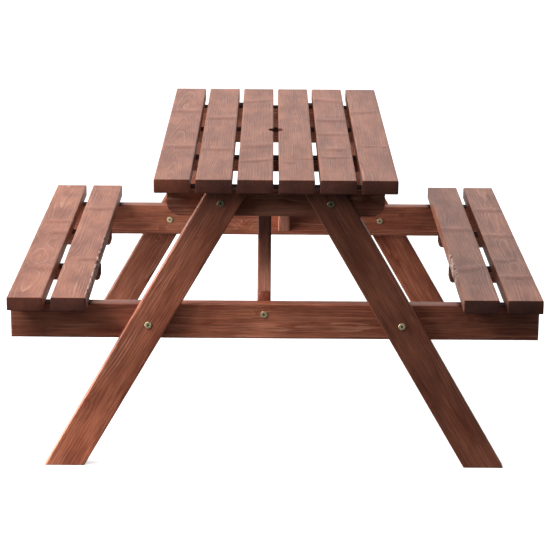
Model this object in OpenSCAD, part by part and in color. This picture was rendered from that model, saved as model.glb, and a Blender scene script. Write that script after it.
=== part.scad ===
// Picnic table with two benches on splayed legs.
// X runs across the table, from bench to bench.
// Y runs along the planks and Z points up from the ground.
// The origin is on the ground, under the middle of the parasol hole.

/* [Boards] */
// Width of a plank or leg board
board_w = 88; // [70:1:110]
// Thickness of every board
board_t = 35; // [24:1:42]
// Width of a bearer board
bearer_w = 91; // [75:1:115]
// Rounding along the long edges of every board
edge_r = 3; // [1:0.5:5]
// Depth of the cleats under the ends of the table top
cleat_h = 74; // [60:1:90]
// Rounding of a cleat's two lower corners
cleat_r = 32; // [5:1:40]
// Width of the battens under the table top and the benches
batten_w = 45; // [35:1:60]
// Depth of those battens
batten_h = 36; // [24:1:42]
// Rounding of a batten's two lower corners
batten_r = 9; // [4:1:16]

/* [Table top] */
// Length of the planks
table_l = 1200; // [900:10:1800]
// Height of the table top above the ground
table_h = 755; // [640:5:920]
// Gap between two planks of the top
top_gap = 13; // [6:1:20]
// Diameter of the parasol hole in the middle of the top
parasol_d = 42; // [30:1:50]
// How far a cleat or batten stops short of the edge of the top
cleat_inset = 28; // [15:1:45]
// Distance of the middle battens from the middle of the table
mid_batten_y = 181; // [120:1:240]

/* [Benches] */
// Height of the seats above the ground
seat_h = 455; // [380:5:520]
// Width over the outer edges of both benches
span_w = 1322; // [1100:2:1600]
// Gap between the two planks of a bench
bench_gap = 20; // [8:1:30]
// Distance of the bench battens from the middle of the table
bench_batten_y = 180; // [120:1:240]
// How far a bench batten shows past the inner edge of its bench
batten_proud = 0; // [0:1:8]

/* [Legs] */
// Angle between a leg and the vertical
splay = 30; // [20:0.5:36]
// Distance of a leg's middle line from the table's middle, at its upper end
leg_top_x = 116; // [90:1:150]
// Distance of the legs' outer faces from the ends of the planks
leg_setback = 36; // [10:1:80]
// Depth of a leg's upper bolt below the top of its cleat
cleat_bolt_drop = 33; // [25:1:45]

/* [Braces] */
// Width of a brace board
brace_w = 70; // [50:1:80]
// Sideways distance of a brace from the table's middle
brace_x = 28; // [20:1:40]
// Depth of a brace's bolt below the top of its bearer
brace_bolt_drop = 27; // [20:1:40]

/* [Bolts] */
// Thread diameter of the connector bolts
bolt_d = 8; // [6:1:10]
// Diameter of the flanged heads
head_d = 17.5; // [14:0.5:20]
// Thickness of the flanged heads
head_t = 2.4; // [1.5:0.1:3]
// Wall of a sleeve nut
sleeve_wall = 0.9; // [0.8:0.1:1.5]
// Width across the flats of the hexagon sockets
socket_af = 5; // [4:0.5:6]
// Depth of the hexagon sockets
socket_depth = 3.6; // [2:0.1:5]
// Diameter of the barrel nuts in the braces
barrel_d = 13; // [12:0.5:16]
// Distance of a barrel nut from the end of its brace
barrel_depth = 24; // [18:1:34]

/* [Screws] */
// Diameter of the wood screws
screw_d = 5; // [4:0.5:6]
// Diameter of their countersunk heads
screw_head_d = 9.6; // [8:0.1:12]
// How far a screw reaches into the board it holds
screw_bite = 18; // [12:1:20]
// Radial clearance around screws, bolts and nuts
fit = 0.1; // [0.05:0.05:0.3]

/* [Hidden] */
$fn = 48;

// Front and left are -1, rear and right are 1.
FRONT = -1;
REAR = 1;
LEFT = -1;
RIGHT = 1;

// A cut runs this far past the face it opens, so that no skin is left.
cut = 1;

// Table top
planks = 6;
under_top = table_h - board_t;
top_pitch = board_w + top_gap;
top_w = planks * board_w + (planks - 1) * top_gap;
cleat_l = top_w - 2 * cleat_inset;

// The end frames: the legs stand outside frame_y, the cleats and bearers inside it.
frame_y = table_l / 2 - leg_setback - board_t;
inner_y = frame_y - board_t;
cleat_y = frame_y - board_t / 2;

// Benches
bearer_top = seat_h - board_t;
bearer_mid = bearer_top - bearer_w / 2;
bearer_bottom = bearer_top - bearer_w;
bench_edge = span_w / 2;
bench_w = 2 * board_w + bench_gap;
bench_inner = bench_edge - bench_w;
bench_plank_x = [bench_edge - board_w / 2, bench_inner + board_w / 2];
bench_batten_l = bench_w + batten_proud;
bench_batten_x = bench_edge - bench_batten_l / 2;

// Bolts: each leg has one through its cleat and one through its bearer.
function leg_x(z) = leg_top_x + (under_top - z) * tan(splay);
cleat_bolt_z = under_top - cleat_bolt_drop;
leg_joints = [[leg_x(cleat_bolt_z), cleat_bolt_z], [leg_x(bearer_mid), bearer_mid]];
socket_d = socket_af / cos(30);
sleeve_d = bolt_d + 2 * (fit + sleeve_wall);
sleeve_l = board_t - 2;
leg_bolt_l = 2 * board_t - 5;
brace_bolt_l = board_t + barrel_depth + barrel_d;
barrel_l = board_t - 4;

// Braces, drawn for the front end of the table
brace_foot = [-inner_y, bearer_top - brace_bolt_drop];
brace_head = [-mid_batten_y - batten_w / 2, under_top];
brace_rise = brace_head - brace_foot;
brace_angle = atan2(brace_rise[1], brace_rise[0]);

// Screws
screw_head_t = 3;
screw_tip = 6;
screw_room = 4;
top_screw_limit = cleat_l / 2 - cleat_r - screw_head_d;
cleat_screw_x = [for (i = [0 : planks - 1])
    beside(top_screw_x(i), leg_joints[0][0], sleeve_d / 2)];
batten_screw_x = [for (i = [0 : planks - 1]) beside(top_screw_x(i), brace_x, screw_d / 2)];
bench_screw_x = [for (x = bench_plank_x) for (side = [-1, 1]) x + side * board_w / 4];
cleat_screw_l = cleat_h + screw_bite;
batten_screw_l = batten_h + screw_bite;
bearer_counterbore = bearer_w - cleat_h;
bearer_screw_l = bearer_w - bearer_counterbore + screw_bite;
brace_screw_l = batten_w + 35;
brace_screw_z = under_top - batten_h / 2;

// Middle of a top plank, counted from the left
function top_x(i) = (i - (planks - 1) / 2) * top_pitch;

// Place of a top plank's screw: its middle, unless that is too near a cleat's round corner
function top_screw_x(i) = sign(top_x(i)) * min(abs(top_x(i)), top_screw_limit);

// The same place, moved outwards where a bolt or screw of that radius crosses it at +x or -x
function beside(place, x, radius) = let (room = radius + screw_d / 2 + screw_room)
    abs(abs(place) - x) < room ? sign(place) * (x + room) : place;

// ---- Shared shapes ----

// Section of a board with rounded edges
module section(w, h) {
    square([w - 2 * edge_r, h], center = true);
    square([w, h - 2 * edge_r], center = true);
    for (x = [-1, 1], y = [-1, 1])
        translate([x * (w / 2 - edge_r), y * (h / 2 - edge_r)]) circle(edge_r);
}

// Board along X, centred on its own middle
module board_x(l, w, h) {
    rotate([90, 0, 90]) linear_extrude(l, center = true) section(w, h);
}

// Board along Y, centred on its own middle
module board_y(l, w, h) {
    rotate([90, 0, 0]) linear_extrude(l, center = true) section(w, h);
}

// Cross piece under planks: its top face lies at z = 0, its lower corners are round
module cross_piece(l, w, h, r) {
    intersection() {
        translate([0, 0, -h / 2]) board_x(l, w, h);
        rotate([90, 0, 0]) linear_extrude(w + 2 * cut, center = true) {
            translate([-l / 2, r - h]) square([l, h - r]);
            translate([r - l / 2, -h]) square([l - 2 * r, h]);
            for (side = [-1, 1]) translate([side * (l / 2 - r), r - h]) circle(r);
        }
    }
}

// Draws its children on the right, or mirrored to the left
module on_side(side) {
    mirror([side == LEFT ? 1 : 0, 0, 0]) children();
}

// Draws its children at the front, or turned half round to the rear
module at_end(end) {
    rotate([0, 0, end == REAR ? 180 : 0]) children();
}

// Flanged head with a hexagon socket: the seat is at z = 0, the shank goes down
module flanged_head() {
    chamfer = head_t / 3;
    rotate_extrude() polygon([
        [0, 0], [head_d / 2, 0], [head_d / 2, head_t - chamfer],
        [head_d / 2 - chamfer, head_t], [0, head_t]
    ]);
}

module hex_socket(depth) {
    translate([0, 0, head_t - depth]) cylinder(d = socket_d, h = depth + cut, $fn = 6);
}

// Connector bolt, its shank going down from the seat of its head
module connector_bolt(l) {
    difference() {
        union() {
            flanged_head();
            translate([0, 0, -l]) cylinder(d = bolt_d, h = l);
        }
        hex_socket(socket_depth);
    }
}

// Sleeve nut: the flanged head of a bolt on a threaded tube
module sleeve_nut() {
    difference() {
        union() {
            flanged_head();
            translate([0, 0, -sleeve_l]) cylinder(d = sleeve_d, h = sleeve_l);
        }
        hex_socket(head_t + cut);
        translate([0, 0, -sleeve_l - cut]) cylinder(d = bolt_d + 2 * fit, h = sleeve_l + cut);
    }
}

// Countersunk wood screw, driven upwards from z = 0
module wood_screw(l) {
    difference() {
        rotate_extrude() polygon([
            [0, 0], [screw_head_d / 2, 0], [screw_d / 2, screw_head_t],
            [screw_d / 2, l - screw_tip], [0, l]
        ]);
        translate([0, 0, -cut]) cylinder(d = screw_d * 0.8, h = cut + screw_head_t * 0.7, $fn = 6);
    }
}

// What a wood screw takes out of the boards, with a counterbore below its head
module screw_hole(l, counterbore = 0) {
    cylinder(d = screw_d + 2 * fit, h = l + cut);
    cylinder(d1 = screw_head_d + 2 * fit, d2 = screw_d + 2 * fit, h = screw_head_t);
    translate([0, 0, -counterbore - cut])
        cylinder(d = screw_head_d + 2 * fit, h = counterbore + cut);
}

// Round hole along Y through everything between two places
module hole_y(x, z, d, from, to) {
    translate([x, from, z]) rotate([-90, 0, 0]) cylinder(d = d, h = to - from);
}

// ---- Where the fasteners go ----

module at_cleat_screws() {
    for (x = cleat_screw_x, end = [FRONT, REAR])
        translate([x, end * cleat_y, under_top - cleat_h]) children();
}

module at_mid_batten_screws() {
    for (x = batten_screw_x, end = [FRONT, REAR])
        translate([x, end * mid_batten_y, under_top - batten_h]) children();
}

module at_bench_batten_screws() {
    for (side = [LEFT, RIGHT], end = [FRONT, REAR], x = bench_screw_x)
        translate([side * x, end * bench_batten_y, bearer_top - batten_h]) children();
}

module at_bearer_screws() {
    for (side = [LEFT, RIGHT], end = [FRONT, REAR], x = bench_screw_x)
        translate([side * x, end * cleat_y, bearer_bottom + bearer_counterbore]) children();
}

// The brace screws go through the middle battens, from the table's middle outwards
module at_brace_screws() {
    for (end = [FRONT, REAR]) at_end(end)
        translate([-brace_x, batten_w / 2 - mid_batten_y, brace_screw_z]) rotate([90, 0, 0]) children();
}

// ---- Table top ----

module top_plank(i) {
    color("#a8746a") difference() {
        translate([top_x(i), 0, table_h - board_t / 2]) board_y(table_l, board_w, board_t);
        translate([0, 0, under_top - cut]) cylinder(d = parasol_d, h = board_t + 2 * cut);
        at_cleat_screws() screw_hole(cleat_screw_l);
        at_mid_batten_screws() screw_hole(batten_screw_l);
    }
}

module cleat(end) {
    color("#5d3a30") difference() {
        translate([0, end * cleat_y, under_top]) cross_piece(cleat_l, board_t, cleat_h, cleat_r);
        at_cleat_screws() screw_hole(cleat_screw_l);
        at_end(end) for (side = [LEFT, RIGHT])
            hole_y(side * leg_joints[0][0], leg_joints[0][1], sleeve_d + 2 * fit,
                -frame_y - cut, -inner_y + cut);
    }
}

module mid_batten(end) {
    color("#5d3a30") difference() {
        translate([0, end * mid_batten_y, under_top])
            cross_piece(cleat_l, batten_w, batten_h, batten_r);
        at_mid_batten_screws() screw_hole(batten_screw_l);
        at_brace_screws() screw_hole(brace_screw_l);
    }
}

// ---- Legs, bearers and braces ----

module leg(end, side) {
    length = under_top / cos(splay) + 2 * board_w;
    color("#7d4a3c") at_end(end) on_side(side * end == LEFT * FRONT ? LEFT : RIGHT) difference() {
        intersection() {
            translate([leg_top_x, -frame_y - board_t / 2, under_top]) rotate([0, -splay, 0])
                translate([0, 0, board_w - length]) linear_extrude(length) section(board_w, board_t);
            translate([-span_w, -table_l, 0]) cube([2 * span_w, table_l, under_top]);
        }
        for (joint = leg_joints)
            hole_y(joint[0], joint[1], bolt_d + 2 * fit,
                -frame_y - board_t - cut, -frame_y + cut);
    }
}

module bearer(end) {
    color("#80503f") difference() {
        translate([0, end * cleat_y, bearer_mid]) board_x(span_w, board_t, bearer_w);
        at_bearer_screws() screw_hole(bearer_screw_l, bearer_counterbore);
        at_end(end) {
            for (side = [LEFT, RIGHT])
                hole_y(side * leg_joints[1][0], leg_joints[1][1], sleeve_d + 2 * fit,
                    -frame_y - cut, -inner_y + cut);
            hole_y(-brace_x, brace_foot[1], bolt_d + 2 * fit, -frame_y - cut, -inner_y + cut);
        }
    }
}

module brace(end) {
    color("#50302a") difference() {
        at_end(end) intersection() {
            translate([-brace_x, brace_foot[0], brace_foot[1]]) rotate([brace_angle, 0, 0])
                translate([0, norm(brace_rise) / 2, 0])
                    board_y(norm(brace_rise) + 4 * brace_w, board_t, brace_w);
            translate([-brace_x - board_t, brace_foot[0], 0])
                cube([2 * board_t, brace_rise[0], under_top]);
        }
        at_brace_screws() screw_hole(brace_screw_l);
        at_end(end) {
            hole_y(-brace_x, brace_foot[1], bolt_d + 2 * fit,
                -inner_y - cut, brace_bolt_l - frame_y + cut);
            translate([-brace_x, barrel_depth - inner_y, brace_foot[1]]) rotate([0, 90, 0])
                cylinder(d = barrel_d + 2 * fit, h = board_t + 2 * cut, center = true);
        }
    }
}

// ---- Benches ----

module bench_plank(side, i) {
    color("#a8746a") difference() {
        translate([side * bench_plank_x[i], 0, seat_h - board_t / 2])
            board_y(table_l, board_w, board_t);
        at_bench_batten_screws() screw_hole(batten_screw_l);
        at_bearer_screws() screw_hole(bearer_screw_l, bearer_counterbore);
    }
}

module bench_batten(side, end) {
    color("#5d3a30") difference() {
        translate([side * bench_batten_x, end * bench_batten_y, bearer_top])
            cross_piece(bench_batten_l, batten_w, batten_h, batten_r);
        at_bench_batten_screws() screw_hole(batten_screw_l);
    }
}

// ---- Bolts, nuts and screws ----

// Heads outwards on the legs' outer faces
module leg_bolts() {
    color("#c9a24a") for (end = [FRONT, REAR], side = [LEFT, RIGHT], joint = leg_joints)
        at_end(end) translate([side * joint[0], -frame_y - board_t, joint[1]])
            rotate([90, 0, 0]) connector_bolt(leg_bolt_l);
}

// Heads on the inner faces of the cleats and bearers
module leg_sleeve_nuts() {
    color("#c9a24a") for (end = [FRONT, REAR], side = [LEFT, RIGHT], joint = leg_joints)
        at_end(end) translate([side * joint[0], -inner_y, joint[1]])
            rotate([-90, 0, 0]) sleeve_nut();
}

module brace_bolts() {
    color("#c9a24a") for (end = [FRONT, REAR])
        at_end(end) translate([-brace_x, -frame_y, brace_foot[1]])
            rotate([90, 0, 0]) connector_bolt(brace_bolt_l);
}

// Threaded across their middle, for the brace bolts
module brace_barrel_nuts() {
    color("#c9a24a") for (end = [FRONT, REAR])
        at_end(end) translate([-brace_x, barrel_depth - inner_y, brace_foot[1]]) difference() {
            rotate([0, 90, 0]) cylinder(d = barrel_d, h = barrel_l, center = true);
            rotate([90, 0, 0]) cylinder(d = bolt_d + 2 * fit, h = 2 * barrel_d, center = true);
        }
}

module cleat_screws() {
    color("#b99a52") at_cleat_screws() wood_screw(cleat_screw_l);
}

module mid_batten_screws() {
    color("#b99a52") at_mid_batten_screws() wood_screw(batten_screw_l);
}

module bench_batten_screws() {
    color("#b99a52") at_bench_batten_screws() wood_screw(batten_screw_l);
}

module bearer_screws() {
    color("#b99a52") at_bearer_screws() wood_screw(bearer_screw_l);
}

module brace_screws() {
    color("#b99a52") at_brace_screws() wood_screw(brace_screw_l);
}

top_plank(0);  // top_plank_1
top_plank(1);  // top_plank_2
top_plank(2);  // top_plank_3
top_plank(3);  // top_plank_4
top_plank(4);  // top_plank_5
top_plank(5);  // top_plank_6
cleat(FRONT);  // cleat_front
cleat(REAR);  // cleat_rear
mid_batten(FRONT);  // mid_batten_front
mid_batten(REAR);  // mid_batten_rear
leg(FRONT, LEFT);  // leg_front_left
leg(FRONT, RIGHT);  // leg_front_right
leg(REAR, LEFT);  // leg_rear_left
leg(REAR, RIGHT);  // leg_rear_right
bearer(FRONT);  // bearer_front
bearer(REAR);  // bearer_rear
brace(FRONT);  // brace_front
brace(REAR);  // brace_rear
bench_plank(LEFT, 0);  // bench_plank_left_outer
bench_plank(LEFT, 1);  // bench_plank_left_inner
bench_plank(RIGHT, 1);  // bench_plank_right_inner
bench_plank(RIGHT, 0);  // bench_plank_right_outer
bench_batten(LEFT, FRONT);  // bench_batten_left_front
bench_batten(LEFT, REAR);  // bench_batten_left_rear
bench_batten(RIGHT, FRONT);  // bench_batten_right_front
bench_batten(RIGHT, REAR);  // bench_batten_right_rear
leg_bolts();
leg_sleeve_nuts();
brace_bolts();
brace_barrel_nuts();
cleat_screws();
mid_batten_screws();
bench_batten_screws();
bearer_screws();
brace_screws();
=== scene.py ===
"""Looks of the picnic table: worn, stained pine boards, plated bolts, studio light and camera.

Every board is one mesh in its own frame: x along the grain, y across, z out of its shown face.
"""

import math
import random

import bpy
import numpy as np
from mathutils import Matrix, Vector, noise


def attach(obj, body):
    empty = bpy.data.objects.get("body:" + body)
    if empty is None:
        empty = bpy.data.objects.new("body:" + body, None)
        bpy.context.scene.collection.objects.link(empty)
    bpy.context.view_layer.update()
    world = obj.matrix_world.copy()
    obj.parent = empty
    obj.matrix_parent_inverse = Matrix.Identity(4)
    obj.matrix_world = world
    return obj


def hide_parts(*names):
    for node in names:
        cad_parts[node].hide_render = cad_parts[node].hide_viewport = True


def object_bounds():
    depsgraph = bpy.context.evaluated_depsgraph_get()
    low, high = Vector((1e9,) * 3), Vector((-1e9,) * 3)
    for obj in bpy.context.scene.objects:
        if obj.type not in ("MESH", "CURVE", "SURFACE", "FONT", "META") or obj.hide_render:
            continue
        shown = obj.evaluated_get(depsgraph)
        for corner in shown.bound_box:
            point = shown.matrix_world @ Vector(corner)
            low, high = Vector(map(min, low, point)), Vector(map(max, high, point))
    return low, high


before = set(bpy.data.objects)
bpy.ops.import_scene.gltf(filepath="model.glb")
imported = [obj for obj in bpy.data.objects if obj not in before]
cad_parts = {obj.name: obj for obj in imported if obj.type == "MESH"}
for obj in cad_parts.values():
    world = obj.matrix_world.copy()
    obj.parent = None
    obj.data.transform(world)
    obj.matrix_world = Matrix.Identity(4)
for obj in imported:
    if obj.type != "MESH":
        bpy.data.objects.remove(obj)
cad_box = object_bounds()

MM = 0.001
UP = Vector((0, 0, 1))
FRONT = Vector((0, -1, 0))
REAR = Vector((0, 1, 0))

# ---- Shape of the boards ----

GRID = 6 * MM           # spacing of the mesh along and across a board
ARRIS = 3.4 * MM        # radius of a board's long edges
ARRIS_STEPS = 5         # facets round each of them
ARRIS_LEAST = 0.6 * MM
END_ARRIS = 0.9 * MM    # rounding of the sawn ends
BEND_STEPS = 12         # rings round a cross piece's large lower corner
SKIN = 0.10 * MM        # a board's surface lies this far inside its CAD solid
SKIN_LEAST = 0.05 * MM
FACE_SKIN = 0.45 * MM   # the same for its shown face, which leaves room for raised knots
RIDGE = 0.55 * MM       # height of the wood round a knot
HOLLOW = 0.3 * MM       # depth of the dip beside it
WAVE = 0.16 * MM        # unevenness of the planed faces
CUP = 0.21 * MM         # how far a face is hollow across its width
WEAR = 1.3 * MM         # how deep the edges are rubbed in places
DENT = 0.6 * MM
WELD = 0.002 * MM       # CAD vertices nearer than this are one
SHARP_ANGLE = math.radians(35)


class Board:
    """A CAD board's own frame and sizes, read from its mesh.

    cut is the direction that its sawn ends are square to, if that isn't along the board.
    """

    def __init__(self, node, face, cut=None):
        self.node = node
        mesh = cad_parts[node].data
        points = np.array([v.co for v in mesh.vertices])
        self.along = long_axis(mesh, face)
        cut = cut or self.along
        across = face.cross(self.along)
        axes = np.array([self.along, across, face])
        local = points @ axes.T
        low, high = local.min(0), local.max(0)
        self.width, self.thick = (high - low)[1:]
        middle = (low + high) / 2
        self.slope = -across.dot(cut) / self.along.dot(cut)
        ends = (points @ np.array(cut)) / self.along.dot(cut)
        reach = ends - middle[1] * -self.slope
        middle[0] = (reach.min() + reach.max()) / 2
        self.length = np.ptp(reach)
        self.matrix = Matrix.Identity(4)
        for column, axis in enumerate(axes):
            for row in range(3):
                self.matrix[row][column] = axis[row]
        self.matrix.translation = Vector(middle @ axes)


def long_axis(mesh, face):
    """Direction of a board's long edges: up, to the rear, or so that across its face is up."""
    areas = {}
    for side in mesh.polygons:
        if abs(side.normal.dot(face)) < 0.01:
            key = tuple(round(c, 3) + 0.0 for c in side.normal)
            areas[key] = areas.get(key, 0) + side.area
    along = Vector(max(areas, key=areas.get)).cross(face).normalized()
    forward = along.z if abs(along.z) > 0.1 else along.y - along.x * face.y
    return along if forward > 0 else -along


def stations(board, low_round):
    """Places of the rings along a board, each with its end rounding and its lower edge's rise."""
    half = board.length / 2
    start = max(low_round, END_ARRIS)
    count = max(2, round(2 * (half - start) / GRID))
    places = list(np.linspace(start - half, half - start, count + 1))
    if low_round:
        angles = np.linspace(0, math.pi / 2, BEND_STEPS)
        bend = [half - low_round * (1 - math.sin(a)) for a in angles]
        places += [s * x for x in bend[1:-1] for s in (-1, 1) if x < half - END_ARRIS]
        places += [half - END_ARRIS, END_ARRIS - half]
    rings = [(x, 0.0) for x in sorted(places)]
    for angle in (math.radians(a) for a in (30, 60, 90)):
        x = half - END_ARRIS * (1 - math.sin(angle))
        inset = END_ARRIS * (1 - math.cos(angle))
        rings = [(-x, inset)] + rings + [(x, inset)]
    result = []
    for x, inset in rings:
        past = max(0.0, abs(x) - (half - low_round))
        rise = low_round - math.sqrt(max(0.0, low_round ** 2 - past ** 2))
        result.append((x, inset, rise))
    return result


def section_plan(board):
    """Corners of the section in order, each with its first angle, and the steps to the next."""
    wide = max(2, round(board.width / GRID))
    thin = max(2, round(board.thick / GRID))
    return [(1, 1, 0, wide), (-1, 1, 90, thin), (-1, -1, 180, wide), (1, -1, 270, thin)]


def corner_radius(seed, corner, x, look):
    """Radius of one long edge at x, larger where the board is waney."""
    worn = noise.noise(Vector((x * 9, corner * 7.7, seed)))
    radius = ARRIS * (1 + 0.25 * worn)
    for where, first, last, size in look.get("wane", ()):
        if where == corner and first < x < last:
            fade = math.sin(math.pi * (x - first) / (last - first)) ** 0.4
            rough = noise.fractal(Vector((x * 42, corner, seed)), 1.0, 2.0, 3)
            radius += size * fade * max(0.0, 0.75 + 0.9 * rough)
    return radius


def surface_depth(board, seed, point, normal, worn, look, pits):
    """How far a point of the surface lies inside the sharp board: cupping, wear, dents, knots."""
    x, y, z = point
    depth = SKIN + WAVE * (1 + noise.noise(Vector((x * 7, y * 16 + seed, z * 16)))) / 2
    if abs(normal[1]) > 0.9:
        depth += CUP * (1 - (2 * y / board.width) ** 2)
    rub = noise.noise(Vector((x * 23, seed * 3.1, (y + z) * 20)))
    depth += worn * WEAR * max(0.0, rub - 0.05)
    shown = max(0.0, normal[1])
    depth += FACE_SKIN * shown
    for at_x, at_y, size_x, size_y, _, *slant in look.get("knots", ()):
        along = x - at_x * MM + sum(slant) * (y - at_y * MM)
        along += 7 * MM * size_y / 60 * noise.noise(Vector((x * 40, y * 40, seed)))
        far = math.hypot(along / (size_x * MM), (y - at_y * MM) / (size_y * MM))
        depth -= RIDGE * math.exp(-(far ** 2)) * shown
        depth += HOLLOW * math.exp(-((far - 1.7) ** 2) * 4) * shown * (along < 0)
    for px, py, size in pits:
        far = math.hypot(x - px, y - py) / size
        depth += DENT * math.exp(-(far ** 2)) * (normal[1] > 0.5)
    return max(depth, SKIN_LEAST)


def dents(board, seed, count=4):
    """Places and sizes of a few dents in the shown face."""
    draw = random.Random(seed)
    spread = board.length * 0.46, board.width * 0.42
    return [(draw.uniform(-1, 1) * spread[0], draw.uniform(-1, 1) * spread[1],
             draw.uniform(3, 7) * MM) for _ in range(count)]


def section(board, seed, look, plan, x, inset, rise):
    """One ring of the board: each point's place in the section, its normal and how worn it is."""
    halves = {1: board.width / 2 - inset, -1: board.width / 2 - inset - rise}
    flat = board.thick / 2 - inset
    arcs = []
    for corner, (sy, sz, turn, _) in enumerate(plan):
        radius = max(ARRIS_LEAST, corner_radius(seed, corner, x, look) - inset)
        radius = min(radius, flat * 0.9, halves[sy] * 0.9)
        centre = (sy * (halves[sy] - radius), sz * (flat - radius))
        arc = []
        for step in range(ARRIS_STEPS + 1):
            angle = math.radians(turn + 90 * step / ARRIS_STEPS)
            normal = (math.cos(angle), math.sin(angle))
            place = (centre[0] + radius * normal[0], centre[1] + radius * normal[1])
            worn = math.sin(math.pi * step / ARRIS_STEPS)
            arc.append((place, normal, worn))
        arcs.append(arc)
    ring = []
    for corner, (_, _, _, steps) in enumerate(plan):
        arc = arcs[corner]
        ring += arc
        (a, normal, _), (b, _, _) = arc[-1], arcs[(corner + 1) % 4][0]
        for step in range(1, steps):
            t = step / steps
            ring.append(((a[0] + (b[0] - a[0]) * t, a[1] + (b[1] - a[1]) * t), normal, 0.0))
    return ring


def skin_faces(rings, size):
    """Faces between rings of size points each, and the two ends."""
    faces = []
    for r in range(rings - 1):
        for p in range(size):
            q = (p + 1) % size
            faces.append((r * size + p, (r + 1) * size + p, (r + 1) * size + q, r * size + q))
    faces.append(tuple(range(size)))
    faces.append(tuple(reversed(range((rings - 1) * size, rings * size))))
    return faces


def board_mesh(board, seed, look, low_round=0.0):
    """Swept board with rounded, worn edges, slanting ends and a slightly uneven surface."""
    plan = section_plan(board)
    pits = dents(board, seed)
    vertices = []
    rings = stations(board, low_round)
    for x, inset, rise in rings:
        ring = section(board, seed, look, plan, x, inset, rise)
        for place, normal, worn in ring:
            depth = surface_depth(board, seed, (x, *place), normal, worn, look, pits)
            y = place[0] - normal[0] * depth
            z = place[1] - normal[1] * depth
            vertices.append((x * (1 - 2 * SKIN / board.length) + board.slope * y, y, z))
    mesh = bpy.data.meshes.new(board.node)
    mesh.from_pydata(vertices, [], skin_faces(len(rings), len(ring)))
    mesh.validate()
    return mesh


def cut_like_cad(piece, node):
    """Keeps what of the piece lies inside its CAD solid, which gives it the same holes and ends."""
    solid = bpy.data.objects.new("solid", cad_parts[node].data.copy())
    bpy.context.scene.collection.objects.link(solid)
    weld = solid.modifiers.new("weld", "WELD")
    weld.merge_threshold = WELD
    keep = piece.modifiers.new("keep", "BOOLEAN")
    keep.operation = "INTERSECT"
    keep.solver = "EXACT"
    keep.object = solid
    shaped = piece.evaluated_get(bpy.context.evaluated_depsgraph_get())
    mesh = bpy.data.meshes.new_from_object(shaped)
    piece.modifiers.clear()
    piece.data = mesh
    bpy.data.objects.remove(solid)


def make_board(node, face, look, cut=None, low_round=0.0):
    """Builds one detailed board in place of its CAD node."""
    board = Board(node, face, cut)
    seed = look["seed"]
    piece = bpy.data.objects.new(node + "_board", board_mesh(board, seed, look, low_round))
    bpy.context.scene.collection.objects.link(piece)
    piece.data.transform(board.matrix)
    cut_like_cad(piece, node)
    piece.data.polygons.foreach_set("use_smooth", [True] * len(piece.data.polygons))
    piece.data.set_sharp_from_angle(angle=SHARP_ANGLE)
    piece.data.materials.clear()
    piece.data.materials.append(stained_pine(node, board, look))
    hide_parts(node)
    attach(piece, "root")


# ---- Materials ----

STAIN_PALE = (0.30, 0.102, 0.054, 1)
STAIN_DARK = (0.17, 0.044, 0.022, 1)
RING_TINT = (0.33, 0.125, 0.07, 1)
LATE_WOOD = (0.56, 0.29, 0.19, 1)
KNOT_RIM = (0.12, 0.030, 0.016, 1)
KNOT_HEART = (0.28, 0.070, 0.028, 1)
SAWN_TINT = (1.0, 0.66, 0.54, 1)
RUBBED_WOOD = (0.44, 0.185, 0.11, 1)
BARK_SCRAPE = (0.62, 0.47, 0.42, 1)
BARK_FLAKE = (0.035, 0.014, 0.012, 1)
# Painted shade for the tops of cross pieces seen through the gaps.
GAP_SHADE_COLOR = (0.034, 0.015, 0.011, 1)
BOLT_PLATING = (0.80, 0.68, 0.42)
SCREW_PLATING = (0.60, 0.52, 0.32)
SHADED_FROM = 600 * MM     # height from which the bolts are painted darker, as painted shade under the top
SHADED_FULLY = 620 * MM
RECESS_SHADE_REACH = 6 * MM             # how far round a bolt's socket and rim its painted shade reaches
WHITE = (1, 1, 1, 1)

# Outputs of the Texture Coordinate node, and sockets of the Mix node for colours
GENERATED, NORMAL, OBJECT = 0, 1, 3
MIX_A, MIX_B, MIXED = 6, 7, 2


class Nodes:
    """Short calls that add shader nodes to one tree. A value or a socket may be given as input."""

    def __init__(self, tree):
        self.tree = tree

    def add(self, kind, *values, out=0, **settings):
        node = self.tree.nodes.new("ShaderNode" + kind)
        for key, value in settings.items():
            setattr(node, key, value)
        for index, value in enumerate(values):
            self.put(node.inputs[index], value)
        return node.outputs[out]

    def put(self, socket, value):
        if isinstance(value, bpy.types.NodeSocket):
            self.tree.links.new(value, socket)
        elif value is not None:
            socket.default_value = value

    def math(self, operation, *values, clamp=False):
        return self.add("Math", *values, operation=operation, use_clamp=clamp)

    def vector(self, operation, *values, out=0):
        return self.add("VectorMath", *values, operation=operation, out=out)

    def noise(self, place, scale, detail=2.0, rough=0.5, stretch=None):
        if stretch:
            place = self.vector("MULTIPLY", place, stretch)
        return self.add("TexNoise", place, None, scale, detail, rough)

    def ramp(self, value, low, high, start=0.0, end=1.0):
        """Smooth step: start at low, end at high."""
        node = self.tree.nodes.new("ShaderNodeMapRange")
        node.interpolation_type = "SMOOTHSTEP"
        for index, number in enumerate((value, low, high, start, end)):
            self.put(node.inputs[index], number)
        return node.outputs[0]

    def mix(self, share, a, b, blend="MIX"):
        node = self.tree.nodes.new("ShaderNodeMix")
        node.data_type = "RGBA"
        node.blend_type = blend
        self.put(node.inputs[0], share)
        self.put(node.inputs[MIX_A], a)
        self.put(node.inputs[MIX_B], b)
        return node.outputs[MIXED]

    def multiply(self, a, b):
        return self.mix(1.0, a, b, "MULTIPLY")

    def split(self, vector):
        node = self.tree.nodes.new("ShaderNodeSeparateXYZ")
        self.tree.links.new(vector, node.inputs[0])
        return node.outputs


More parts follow.
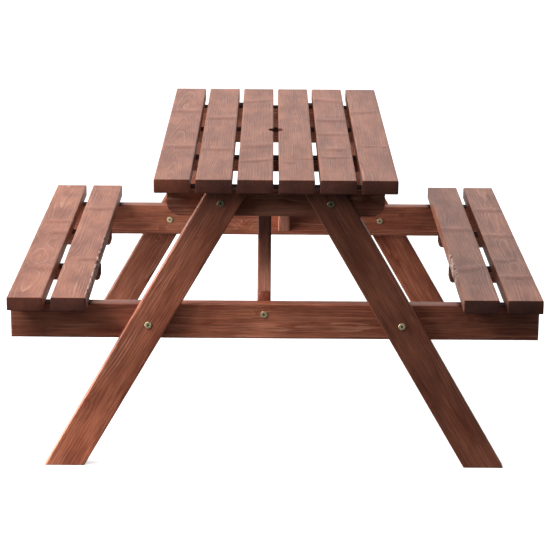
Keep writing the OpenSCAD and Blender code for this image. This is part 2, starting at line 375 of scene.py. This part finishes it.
def new_group(name, inputs, outputs):
    """An empty node group with those sockets, its Nodes, its inputs and its output node."""
    tree = bpy.data.node_groups.new(name, "ShaderNodeTree")
    for way, sockets in (("INPUT", inputs), ("OUTPUT", outputs)):
        for socket, kind in sockets:
            tree.interface.new_socket(socket, in_out=way, socket_type="NodeSocket" + kind)
    entry = tree.nodes.new("NodeGroupInput").outputs
    leave = tree.nodes.new("NodeGroupOutput").inputs
    return tree, Nodes(tree), entry, leave


def knot_group():
    """One knot: it bends the growth rings round itself, swells the face, paints a highlight on one
    side of the swell and shade on the other, and marks its wood.
    """
    inputs = [("Place", "Vector"), ("Rings", "Float"), ("Knot", "Float"), ("Swell", "Float"),
              ("Shade", "Float"), ("Centre", "Vector"), ("Size", "Vector"), ("Bend", "Float"),
              ("Slant", "Float")]
    outputs = [("Rings", "Float"), ("Knot", "Float"), ("Swell", "Float"), ("Shade", "Float")]
    tree, make, entry, leave = new_group("knot", inputs, outputs)
    wave = make.math("MULTIPLY_ADD", make.noise(entry["Place"], 0.045, 2.0), 16.0, -8.0)
    offset = make.vector("SUBTRACT", entry["Place"], entry["Centre"])
    parts = make.split(offset)
    along = make.math("MULTIPLY_ADD", parts[1], entry["Slant"], parts[0])
    wide = make.math("DIVIDE", make.split(entry["Size"])[1], 60.0)
    along = make.math("MULTIPLY_ADD", wave, wide, along)
    offset = make.add("CombineXYZ", along, parts[1], parts[2])
    far = make.vector("LENGTH", make.vector("DIVIDE", offset, entry["Size"]), out=1)
    square = make.math("MULTIPLY", far, far)
    near = make.math("EXPONENT", make.math("MULTIPLY", square, -0.35))
    bent = make.math("MULTIPLY_ADD", near, entry["Bend"], entry["Rings"])
    bump = make.math("EXPONENT", make.math("MULTIPLY", square, -1.0))
    long = make.split(entry["Size"])[0]
    swell = make.math("MULTIPLY_ADD", make.math("MULTIPLY", bump, long), 0.05, entry["Swell"])
    # Painted highlight and shade: lighter on the swell's +x side, darker on its -x side.
    shade = make.math("MULTIPLY_ADD", bump, make.math("DIVIDE", along, long), entry["Shade"])
    rough = make.noise(entry["Place"], 0.14, 2.0)
    edge = make.math("MULTIPLY_ADD", rough, 0.8, make.math("SUBTRACT", far, 0.4))
    wood = make.ramp(edge, 0.3, 1.0, 1.0, 0.0)
    tree.links.new(bent, leave["Rings"])
    tree.links.new(swell, leave["Swell"])
    tree.links.new(shade, leave["Shade"])
    tree.links.new(make.math("MAXIMUM", wood, entry["Knot"]), leave["Knot"])
    return tree


def growth_rings(make, entry, place):
    """How far through its ring a point is, and how strong its pale late-wood line is."""
    count = make.math("DIVIDE", entry["Rings"], entry["Spacing"])
    count = make.math("MULTIPLY_ADD", make.noise(place, 0.05, 3.0, 0.5, (0.06, 1, 1)), 1.2, count)
    ring = make.math("FRACT", count)
    line = make.math("MULTIPLY", make.math("POWER", ring, 7.0), make.ramp(ring, 0.94, 1.0, 1.0, 0.0))
    fine = make.math("POWER", make.math("FRACT", make.math("MULTIPLY", count, 3.0)), 4.0)
    each = make.add("TexWhiteNoise", None, make.math("FLOOR", count), noise_dimensions="1D")
    shown = make.ramp(make.noise(place, 0.022, 2.0, 0.5, (0.3, 1, 1)), 0.38, 0.62, 0.12, 1.0)
    shown = make.math("MULTIPLY", shown, entry["Lines"])
    strength = make.math("MULTIPLY", make.math("MULTIPLY_ADD", each, 0.75, 0.35), shown)
    line = make.math("MULTIPLY", line, strength)
    fine = make.math("MULTIPLY", fine, strength)
    return ring, make.math("MULTIPLY_ADD", fine, 0.22, line, clamp=True)


def fibres(make, place):
    """Fibres, wide streaks and hair-fine fibres along the board."""
    fibre = make.noise(place, 1.0, 4.0, 0.6, (0.03, 1.1, 1.1))
    streak = make.noise(place, 1.0, 3.0, 0.65, (0.011, 0.3, 0.3))
    hair = make.noise(place, 1.0, 3.0, 0.6, (0.05, 3.2, 3.2))
    return fibre, make.math("SUBTRACT", streak, 0.5), hair


def stained_ground(make, entry, place, ring, line, fibre, streak, hair):
    """Blotchy stain with the late-wood lines and the fibres in it."""
    blotch = make.noise(place, 0.02, 4.0, 0.6, (0.35, 1, 1))
    ground = make.mix(make.ramp(blotch, 0.34, 0.66), STAIN_PALE, STAIN_DARK)
    ground = make.mix(make.math("MULTIPLY", ring, 0.35), ground, RING_TINT)
    color = make.mix(make.math("MULTIPLY", line, 0.7), ground, LATE_WOOD)
    shade = make.math("MULTIPLY_ADD", fibre, 0.75, make.math("MULTIPLY_ADD", hair, 0.4, 0.42))
    shade = make.math("MULTIPLY_ADD", streak, entry["Streaks"], shade)
    # Painted highlight and shade round the knots.
    shade = make.math("MULTIPLY_ADD", entry["Shade"], 0.45, shade)
    return make.multiply(color, shade)


def knot_wood(make, entry, color):
    """Knots: a red heart with a dark rim."""
    heart = make.ramp(entry["Knot"], 0.55, 1.0)
    rim = make.math("SUBTRACT", make.ramp(entry["Knot"], 0.05, 0.4), heart)
    color = make.mix(make.math("MULTIPLY", rim, 0.35), color, KNOT_RIM)
    return make.mix(make.math("MULTIPLY", heart, 0.75), color, KNOT_HEART)


def sawn_ends(make, entry, color, ring):
    """The ends soak up more stain. Also gives where they are."""
    facing = make.vector("DOT_PRODUCT", make.add("TexCoord", out=NORMAL), entry["Along"], out=1)
    end = make.ramp(make.math("ABSOLUTE", facing), 0.45, 0.6)
    mark = make.math("MULTIPLY", make.math("MULTIPLY_ADD", ring, 0.12, 0.30), entry["End"])
    sawn = make.multiply(make.multiply(color, mark), SAWN_TINT)
    return make.mix(end, color, sawn), end


def rubbed_edges(make, color, gap, fibre):
    """The long edges are rubbed paler."""
    corner = make.math("MAXIMUM", gap[1], gap[2])
    rubbed = make.ramp(make.math("MULTIPLY_ADD", fibre, 3.0, corner), 4.4, 1.6)
    return make.mix(make.math("MULTIPLY", rubbed, 0.45), color, RUBBED_WOOD)


def bark_remains(make, entry, color, place):
    """Dark flakes and pale scrapes of bark on a waney edge. Also gives where the scrapes are."""
    flake = make.noise(place, 0.09, 4.0, 0.7, (0.5, 1, 1))
    scrape = make.math("MULTIPLY", entry["Bark"], make.ramp(flake, 0.46, 0.54))
    color = make.mix(make.math("MULTIPLY", scrape, 0.8), color, BARK_SCRAPE)
    dark = make.math("MULTIPLY", entry["Bark"], make.ramp(flake, 0.44, 0.38))
    return make.mix(dark, color, BARK_FLAKE), scrape


def shade_gap_tops(make, entry, color, gap):
    """Painted shade on the upper side of boards that lie under a gap, where the planks above shade
    it. Also gives where it is.
    """
    above = make.ramp(make.split(entry["Place"])[1], 0.0, 1.0)
    upper = make.math("MULTIPLY", make.ramp(gap[1], 5.5, 2.5), above)
    gap_shade = make.math("MULTIPLY", upper, entry["GapShade"])
    return make.mix(gap_shade, color, GAP_SHADE_COLOR), gap_shade


def pine_group():
    """Stained softwood: pale late-wood lines, fibres, stain blotches, dark ends, rubbed edges,
    painted highlight and shade round knots, painted shade on tops under gaps, and painted light and
    shade along the board.
    """
    inputs = [("Place", "Vector"), ("Rings", "Float"), ("Knot", "Float"), ("Half", "Vector"),
              ("Spacing", "Float"), ("Tone", "Color"), ("Seed", "Float"), ("Bark", "Float"),
              ("Along", "Vector"), ("Lines", "Float"), ("Swell", "Float"), ("Shade", "Float"),
              ("GapShade", "Float"), ("Streaks", "Float"), ("Fade", "Float"), ("End", "Float")]
    outputs = [("Color", "Color"), ("Roughness", "Float"), ("Height", "Float")]
    tree, make, entry, leave = new_group("stained_pine", inputs, outputs)
    shift = make.vector("SCALE", (37.0, 91.0, 53.0))
    tree.links.new(entry["Seed"], shift.node.inputs["Scale"])
    place = make.vector("ADD", entry["Place"], shift)
    inside = make.vector("SUBTRACT", entry["Half"], make.vector("ABSOLUTE", entry["Place"]))
    gap = make.split(inside)
    ring, line = growth_rings(make, entry, place)
    fibre, streak, hair = fibres(make, place)
    color = stained_ground(make, entry, place, ring, line, fibre, streak, hair)
    color = knot_wood(make, entry, color)
    color, end = sawn_ends(make, entry, color, ring)
    color = rubbed_edges(make, color, gap, fibre)
    color, scrape = bark_remains(make, entry, color, place)
    color, gap_shade = shade_gap_tops(make, entry, color, gap)
    # Painted light and shade: the colour is scaled by the board's brightness ramps.
    color = make.multiply(make.multiply(color, entry["Tone"]), entry["Fade"])
    tree.links.new(color, leave["Color"])
    rough = make.math("MULTIPLY_ADD", fibre, 0.3, make.math("MULTIPLY_ADD", line, -0.1, 0.33))
    rough = make.math("MULTIPLY_ADD", end, 0.35, rough)
    rough = make.math("MULTIPLY_ADD", gap_shade, 0.5, rough)
    rough = make.math("MULTIPLY_ADD", entry["Bark"], 0.2, rough, clamp=True)
    tree.links.new(rough, leave["Roughness"])
    height = make.math("MULTIPLY_ADD", fibre, 0.22, make.math("MULTIPLY", line, 0.16))
    height = make.math("MULTIPLY_ADD", hair, 0.10, height)
    height = make.math("MULTIPLY_ADD", streak, 0.35, height)
    height = make.math("ADD", height, entry["Swell"])
    height = make.math("MULTIPLY_ADD", scrape, 0.9, height)
    tree.links.new(height, leave["Height"])
    return tree


KNOT = knot_group()
KNOT_DEPTH = 400    # millimetres: a knot goes right through its board
PINE = pine_group()


def use_group(make, tree, values):
    """Adds a group node and sets its inputs by name."""
    node = make.tree.nodes.new("ShaderNodeGroup")
    node.node_tree = tree
    for name, value in values.items():
        make.put(node.inputs[name], value)
    return node.outputs


def new_material(name):
    """An empty material with its Nodes, its Principled shader and that shader linked out."""
    material = bpy.data.materials.new(name)
    material.use_nodes = True
    material.node_tree.nodes.clear()
    make = Nodes(material.node_tree)
    shader = make.tree.nodes.new("ShaderNodeBsdfPrincipled")
    output = make.tree.nodes.new("ShaderNodeOutputMaterial")
    make.tree.links.new(shader.outputs[0], output.inputs[0])
    return material, make, shader


def relief(make, shader, height, size):
    """Bump from a height in millimetres."""
    bump = make.tree.nodes.new("ShaderNodeBump")
    bump.inputs["Strength"].default_value = size
    bump.inputs["Distance"].default_value = MM
    make.put(bump.inputs["Height"], height)
    make.put(shader.inputs["Normal"], bump.outputs[0])


def board_coordinates(make, board):
    """Place on the board, in its own frame, in metres."""
    turn = make.tree.nodes.new("ShaderNodeMapping")
    turn.vector_type = "TEXTURE"
    turn.inputs["Location"].default_value = board.matrix.translation
    turn.inputs["Rotation"].default_value = board.matrix.to_euler("XYZ")
    make.put(turn.inputs["Vector"], make.add("TexCoord", out=OBJECT))
    return turn.outputs[0]


def trunk_rings(make, place, look):
    """Distance from the trunk's pith in millimetres, which the growth rings follow."""
    seed = look["seed"]
    shifted = make.vector("ADD", place, (seed * 71.0, seed * 13.0, seed * 29.0))
    drift = make.noise(shifted, 0.018, 2.0, 0.5, (0.25, 1, 1))
    x, y, z = make.split(place)
    pith_y, pith_z = look["pith"]
    lean_y, lean_z = look.get("lean", (0, 0))
    off_y = make.math("SUBTRACT", y, make.math("MULTIPLY_ADD", x, lean_y, pith_y))
    off_z = make.math("SUBTRACT", z, make.math("MULTIPLY_ADD", x, lean_z, pith_z))
    square = make.math("ADD", make.math("MULTIPLY", off_y, off_y),
                       make.math("MULTIPLY", off_z, off_z))
    return make.math("MULTIPLY_ADD", drift, look.get("drift", 9.0), make.math("SQRT", square))


def knots_and_eddies(make, place, rings, look):
    """The rings bent round the look's knots and eddies, and the knots' wood, swell and shade."""
    knot = swell = shade = 0.0
    for at_x, at_y, size_x, size_y, bend, *slant in look.get("knots", ()):
        values = {"Place": place, "Rings": rings, "Knot": knot, "Swell": swell, "Shade": shade,
                  "Centre": (at_x, at_y, 0), "Size": (size_x, size_y, KNOT_DEPTH),
                  "Bend": float(bend), "Slant": sum(slant)}
        rings, knot, swell, shade = use_group(make, KNOT, values)
    for at_x, at_y, size_x, size_y, bend in look.get("eddies", ()):
        values = {"Place": place, "Rings": rings, "Centre": (at_x, at_y, 0),
                  "Size": (size_x, size_y, KNOT_DEPTH), "Bend": float(bend)}
        rings = use_group(make, KNOT, values)[0]
    return rings, knot, swell, shade


def waney_edge(make, x, y, width, look):
    """Where bark is left: along the look's waney edge."""
    bark = 0.0
    for corner, first, last, _ in look.get("wane", ()):
        side = 1 if corner in (0, 3) else -1
        near = make.ramp(make.math("MULTIPLY", y, side), width / 2 - 7, width / 2 - 3)
        span = make.math("MULTIPLY", make.ramp(x, first / MM, first / MM + 60),
                         make.ramp(x, last / MM - 60, last / MM, 1.0, 0.0))
        bark = make.math("MULTIPLY", near, span)
    return bark


def stained_pine(node, board, look):
    """The board's own stretch of trunk: where its pith ran, its ring width, knots and tone, and its
    painted light and shade.
    """
    material, make, shader = new_material(node + "_pine")
    place = make.vector("SCALE", board_coordinates(make, board))
    place.node.inputs["Scale"].default_value = 1 / MM
    x, y, _ = make.split(place)
    length, width, thick = (size / MM for size in (board.length, board.width, board.thick))
    rings = trunk_rings(make, place, look)
    rings, knot, swell, shade = knots_and_eddies(make, place, rings, look)
    calm_from, calm_to = look.get("lined", (-900, -800))
    lines = make.ramp(y, calm_from, calm_to, look.get("faint", 0.0), look.get("line", 1.0))
    # The look's fades: painted light and shade along the board.
    fade = 1.0
    for span in look.get("fade", ()):
        fade = make.math("MULTIPLY", make.ramp(x, *span), fade)
    # Painted shade on the upper side under the gaps: everywhere on the board, or only from a given
    # distance from its middle.
    grime = look.get("grime", 0.0)
    if "grime_from" in look:
        grime = make.ramp(make.math("ABSOLUTE", x), look["grime_from"], look["grime_from"] + 12)
    values = {"Place": place, "Rings": rings, "Knot": knot, "Swell": swell, "Shade": shade,
              "Half": (length / 2, width / 2, thick / 2), "Spacing": look["spacing"],
              "Tone": (*look.get("tone", (1, 1, 1)), 1), "Seed": float(look["seed"]),
              "Bark": waney_edge(make, x, y, width, look), "Along": board.along,
              "Lines": lines, "GapShade": grime, "Streaks": look.get("streaks", 1.2),
              "Fade": fade, "End": look.get("end", 0.85)}
    color, rough, height = use_group(make, PINE, values)
    make.put(shader.inputs["Base Color"], color)
    make.put(shader.inputs["Roughness"], rough)
    shader.inputs["Specular IOR Level"].default_value = look.get("gloss", 0.5)
    relief(make, shader, height, 0.8)
    return material


def plated_steel(name, color):
    """Zinc plating with a slight yellow cast, dulled and scratched, with painted shade in its
    recesses and painted shade high up, under the top.
    """
    material, make, shader = new_material(name)
    place = make.add("TexCoord", out=OBJECT)
    patch = make.noise(place, 260.0, 3.0)
    scratch = make.noise(place, 900.0, 2.0, 0.6, (1, 6, 0.3))
    shade = make.ramp(patch, 0.3, 0.7, 0.65, 1.15)
    # Painted shade in the sockets and round the rims, from how enclosed each point is.
    recess_shade = make.add("AmbientOcclusion", None, RECESS_SHADE_REACH, out=1, samples=8)
    shade = make.math("MULTIPLY", shade, make.ramp(recess_shade, 0.4, 0.95, 0.04, 1.0))
    # Painted shade: the bolts high up, under the top, are darkened to 0.3.
    stained = make.ramp(make.split(place)[2], SHADED_FROM, SHADED_FULLY, 1.0, 0.3)
    shade = make.math("MULTIPLY", shade, stained)
    make.put(shader.inputs["Base Color"], make.multiply((*color, 1), shade))
    shader.inputs["Metallic"].default_value = 0.6
    make.put(shader.inputs["Roughness"], make.math("MULTIPLY_ADD", scratch, 0.3, 0.4))
    relief(make, shader, scratch, 0.08)
    return material


# ---- The table's boards ----

def grain(seed, pith, spacing=5.0, **more):
    """Look of one board. Places and sizes are in millimetres in the board's frame.

    pith is the y and z of the trunk's pith, and lean how far it moves for each step along x.
    A knot or an eddy is x, y, its size along and across, how far it bends the rings, and a slant.
    A fade is two places along the board and the brightness at each, which paints light and shade on
    it.
    A wane is a corner of section_plan, its first and last x and its size, all in metres.
    """
    return {"seed": seed, "pith": pith, "spacing": spacing, **more}


STAIN = {"tone": (1.0, 0.92, 0.92), "streaks": 2.0}
# Cross pieces under the planks: painted shade on their upper side under the gaps.
UNDER = {"tone": (1.05, 1.25, 1.5), "streaks": 1.2, "grime": 1.0, "gloss": 0.08}
# Painted sheen: the top and bench planks are painted brighter towards their far ends.
FAR_END_PAINTED_SHEEN = [(-450, 600, 0.97, 1.18)]
# An end above the default 0.85 paints a board's sawn ends brighter and one below paints them darker:
# painted light on the ends of top plank 1 and the left outer bench plank, painted shade on the right
# bench planks' ends.
TOP_LOOKS = [
    grain(11, (4, -22), 3.0, end=1.6, lean=(0.0, -0.032), drift=4,
          knots=[(254, 0, 24, 54, 4), (-219, -6, 20, 50, 4)]),
    grain(12, (90, -60), 5.0, drift=6,
          knots=[(160, 0, 22, 52, 5, 0.1), (-247, 4, 20, 50, -5)], eddies=[(-520, 0, 60, 26, 9)]),
    grain(13, (-90, -70), 5.4, drift=5,
          knots=[(406, 10, 20, 44, 5, 0.4), (-200, -6, 26, 50, 7, 0.3),
                 (-379, -8, 16, 48, 5, 0.3)]),
    grain(14, (64, -14), 5.0, drift=5, knots=[(-359, -26, 9, 16, 4), (-400, 16, 12, 14, 4)],
          eddies=[(330, 20, 120, 30, 10)]),
    grain(15, (-80, -40), 4.6, drift=6,
          knots=[(422, 0, 24, 52, 6, -0.3), (136, 0, 18, 48, 5), (-53, 6, 18, 50, 5),
                 (-242, -4, 22, 26, 6), (-338, 0, 14, 48, 5)]),
    grain(16, (76, -60), 5.2, drift=6,
          knots=[(254, 6, 24, 50, 5, 0.3), (-203, 12, 12, 18, 4), (-207, -30, 12, 14, 4)],
          eddies=[(-330, 10, 60, 30, 8)]),
]
BENCH_LOOKS = {
    "left_outer": grain(21, (6, -30), 4.6, end=1.25, lean=(0.0, 0.02), drift=7,
                        knots=[(156, 0, 18, 38, 5), (39, -24, 22, 26, 9),
                               (-325, -18, 26, 38, 8, -0.4)],
                        eddies=[(-60, 6, 70, 24, 13)]),
    "left_inner": grain(22, (48, -26), 5.2, drift=6, wane=[(2, -0.60, 0.02, 0.0038)],
                        knots=[(311, 0, 20, 48, 6), (-238, -24, 16, 34, 12, 0.1)],
                        eddies=[(-230, 30, 60, 16, 10), (-470, 20, 80, 18, 14)]),
    "right_inner": grain(23, (-64, -40), 5.0, end=0.65, drift=6, wane=[(3, -0.42, -0.12, 0.0011)],
                         knots=[(96, 0, 22, 50, 7), (-306, 0, 22, 50, 6, 0.5)],
                         eddies=[(300, 6, 130, 14, 16)]),
    "right_outer": grain(24, (-8, -24), 5.0, end=0.65, drift=9,
                         knots=[(318, 0, 20, 46, 5), (30, 0, 20, 46, 6),
                                (-228, 22, 18, 22, 7), (-384, 0, 18, 46, 6)]),
}
# Their fades are painted light and shade: the front legs brighter towards their feet and darker
# towards their tops, the front right leg darker overall and the rear right leg brighter.
LEG_LOOKS = {
    "front_left": grain(31, (100, -24), 6.5, lean=(-0.01, 0.0), drift=3, line=2.0, **STAIN,
                        fade=[(40, 330, 1.6, 0.88), (-430, -100, 1.65, 1.0)],
                        lined=(2, 16), faint=0.15,
                        knots=[(-227, 36, 9, 7, 9), (274, 8, 4, 4, 3)],
                        eddies=[(60, 34, 90, 9, 6), (-190, 26, 42, 12, 8)]),
    "front_right": grain(32, (-70, -30), 4.4, drift=6, **STAIN,
                         fade=[(60, 330, 0.78, 0.56), (-430, -100, 1.4, 1.0)],
                         knots=[(-204, 36, 8, 7, 8)]),
    "rear_left": grain(33, (30, -60), 4.5, **STAIN,
                       knots=[(-60, 10, 9, 8, 8), (200, -20, 7, 6, 6)]),
    "rear_right": grain(34, (-30, -50), 4.0, **STAIN, fade=[(-1, 1, 1.6, 1.6)],
                        knots=[(-120, -14, 9, 8, 8)]),
}
# Their fades are painted light and shade along the bearers, where the bench planks and legs shade
# them and light falls between.
BEARER_LOOKS = {
    # Past 452 mm from its middle the bearer's upper side, under the bench planks, carries painted
    # shade.
    "front": grain(42, (-14, -46), 4.6, drift=6, **STAIN, grime_from=452,
                   fade=[(-330, -230, 0.8, 1.7), (-40, 60, 1.1, 0.85), (150, 420, 1.0, 0.7)],
                   knots=[(493, 11, 9, 8, 8), (-40, 22, 9, 8, 8)]),
    "rear": grain(52, (-20, -40), 4.6, drift=7, **STAIN, grime_from=452,
                  fade=[(-250, 200, 1.4, 1.05)],
                  knots=[(93, -11, 14, 10, 10), (345, -24, 10, 9, 8), (330, -2, 8, 6, 5),
                         (435, 12, 10, 8, 8), (-376, 18, 9, 8, 8)]),
}
# Painted light and shade along the cleats: darker at one end and brighter at the other.
CLEAT_PAINTED_LIGHT = [(-330, -180, 0.5, 1.15), (150, 330, 1.0, 1.45)]
# Painted light and shade on the braces: light at the foot, dark at the top.
BRACE_PAINTED_LIGHT = [(-160, 60, 2.2, 0.45)]


def top_planks():
    for index, look in enumerate(TOP_LOOKS):
        make_board(f"top_plank_{index + 1}", UP, {"fade": FAR_END_PAINTED_SHEEN, **look})


def bench_planks():
    for place, look in BENCH_LOOKS.items():
        make_board("bench_plank_" + place, UP, {"fade": FAR_END_PAINTED_SHEEN, **look})


def legs():
    for place, look in LEG_LOOKS.items():
        face = FRONT if place.startswith("front") else REAR
        make_board("leg_" + place, face, look, cut=UP)


def frame_boards():
    """Cleats, bearers and braces of both ends."""
    for end, face, seed in (("front", FRONT, 41), ("rear", REAR, 51)):
        cleat = Board("cleat_" + end, face)
        make_board("cleat_" + end, face,
                   grain(seed, (10, -60), 3.6, fade=CLEAT_PAINTED_LIGHT, **UNDER),
                   low_round=cleat_corner(cleat))
        make_board("bearer_" + end, face, BEARER_LOOKS[end])
        side = Vector((-1, 0, 0)) if end == "front" else Vector((1, 0, 0))
        # Painted light: the braces' sawn ends are painted brighter (end 1.5).
        make_board("brace_" + end, side,
                   grain(seed + 2, (20, -50), 4.0, tone=(1.0, 1.1, 1.25), streaks=1.2,
                         end=1.5, fade=BRACE_PAINTED_LIGHT), cut=UP)


def cleat_corner(board):
    """Radius of a cross piece's two lower corners, from how far its lowest points reach."""
    points = np.array([v.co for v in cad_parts[board.node].data.vertices])
    lowest = points[points[:, 2] < points[:, 2].min() + 0.01 * MM]
    along = lowest @ np.array(board.along)
    return float(board.length - np.ptp(along)) / 2


def battens():
    """Cross pieces under the planks. Their lower corners are round."""
    names = ["mid_batten_front", "mid_batten_rear"]
    names += [f"bench_batten_{side}_{end}" for side in ("left", "right") for end in ("front", "rear")]
    for index, name in enumerate(names):
        face = FRONT if name.endswith("front") else REAR
        board = Board(name, face)
        make_board(name, face, grain(61 + index, (8, -40), 3.8, **UNDER),
                   low_round=cleat_corner(board))


def fasteners():
    """The CAD's bolts, nuts and screws with plated steel on them."""
    finishes = {"bolt_metal": plated_steel("plated_bolts", BOLT_PLATING),
                "screw_metal": plated_steel("plated_screws", SCREW_PLATING)}
    kinds = {"bolt_metal": ["leg_bolts", "leg_sleeve_nuts", "brace_bolts", "brace_barrel_nuts"],
             "screw_metal": ["cleat_screws", "mid_batten_screws", "bench_batten_screws",
                             "bearer_screws", "brace_screws"]}
    for slot, nodes in kinds.items():
        for node in nodes:
            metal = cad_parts[node]
            metal.data.materials.clear()
            metal.data.materials.append(finishes[slot])


# ---- Studio ----

FLOOR_REACH = 45.0
CAMERA_AIM = Vector((0.0006, 0, 0.345))
CAMERA_DISTANCE = 5.427
CAMERA_TURN = (0.146, 15.933, -0.443)   # yaw, pitch and roll in degrees
CAMERA_LENS = 128.43
CAMERA_SENSOR = 36


def floor():
    """Plain pale floor."""
    reach = FLOOR_REACH
    mesh = bpy.data.meshes.new("floor")
    corners = [(-reach, -reach, 0), (reach, -reach, 0), (reach, reach, 0), (-reach, reach, 0)]
    mesh.from_pydata(corners, [], [(0, 1, 2, 3)])
    ground = bpy.data.objects.new("floor", mesh)
    bpy.context.scene.collection.objects.link(ground)
    material, make, shader = new_material("pale_floor")
    place = make.add("TexCoord", out=OBJECT)
    soft = make.ramp(make.noise(place, 1.3, 2.0), 0.3, 0.7, 0.90, 0.92)
    make.put(shader.inputs["Base Color"], make.multiply(WHITE, soft))
    shader.inputs["Roughness"].default_value = 0.9
    shader.inputs["Specular IOR Level"].default_value = 0.1
    shader.inputs["Emission Color"].default_value = WHITE
    shader.inputs["Emission Strength"].default_value = 0.55
    mesh.materials.append(material)
    ground.visible_diffuse = False
    ground.visible_glossy = False


def area_light(name, place, aim, size, power):
    """Square soft light at place that faces aim."""
    lamp = bpy.data.lights.new(name, "AREA")
    lamp.shape = "SQUARE"
    lamp.size = size
    lamp.energy = power
    light = bpy.data.objects.new(name, lamp)
    bpy.context.scene.collection.objects.link(light)
    light.location = place
    light.rotation_mode = "QUATERNION"
    light.rotation_quaternion = (Vector(aim) - Vector(place)).to_track_quat("-Z", "Y")


def studio_world():
    """Pale surroundings: bright overhead and behind the table, dim below and all round."""
    world = bpy.data.worlds.new("studio")
    bpy.context.scene.world = world
    world.use_nodes = True
    world.node_tree.nodes.clear()
    make = Nodes(world.node_tree)
    direction = make.split(make.add("TexCoord", out=GENERATED))
    glow = 0.0
    for part, power, strength in ((direction[2], 2.0, 1.45), (direction[1], 8.0, 1.5)):
        lobe = make.math("POWER", make.math("MAXIMUM", part, 0.0), power)
        glow = make.math("MULTIPLY_ADD", lobe, strength, glow)
    below = make.math("MAXIMUM", make.math("MULTIPLY", direction[2], -1.0), 0.0)
    glow = make.math("MULTIPLY_ADD", below, 0.2, glow)
    light = make.tree.nodes.new("ShaderNodeBackground")
    make.put(light.inputs["Color"], make.multiply(WHITE, glow))
    light.inputs["Strength"].default_value = 1.0
    output = make.tree.nodes.new("ShaderNodeOutputWorld")
    make.tree.links.new(light.outputs[0], output.inputs[0])


def studio_lights():
    """Soft key from the upper left, a weaker one from the front left, a low one from the side."""
    middle = (cad_box[0] + cad_box[1]) / 2
    area_light("key", Vector((-2.3, -1.1, 2.6)), middle, 1.2, 62)
    area_light("front_key", Vector((-2.0, -2.0, 1.9)), middle, 0.8, 20)
    area_light("side", Vector((-3.0, -0.3, 0.6)), middle, 1.5, 160)


def camera():
    """Looks along the planks at the table's front end, from a little above the top."""
    yaw, pitch, roll = (math.radians(a) for a in CAMERA_TURN)
    forward = Vector((math.sin(yaw) * math.cos(pitch), math.cos(yaw) * math.cos(pitch),
                      -math.sin(pitch)))
    level = Vector((math.cos(yaw), -math.sin(yaw), 0))
    down = forward.cross(level)
    right = level * math.cos(roll) + down * math.sin(roll)
    up = level * math.sin(roll) - down * math.cos(roll)
    lens = bpy.data.cameras.new("camera")
    lens.lens = CAMERA_LENS
    lens.sensor_width = CAMERA_SENSOR
    view = bpy.data.objects.new("camera", lens)
    bpy.context.scene.collection.objects.link(view)
    axes = Matrix((right, up, -forward)).transposed()
    place = CAMERA_AIM - forward * CAMERA_DISTANCE
    view.matrix_world = Matrix.Translation(place) @ axes.to_4x4()
    bpy.context.scene.camera = view


bpy.context.scene.view_settings.view_transform = "Standard"
camera()
floor()
studio_world()
studio_lights()
top_planks()
bench_planks()
legs()
frame_boards()
battens()
fasteners()
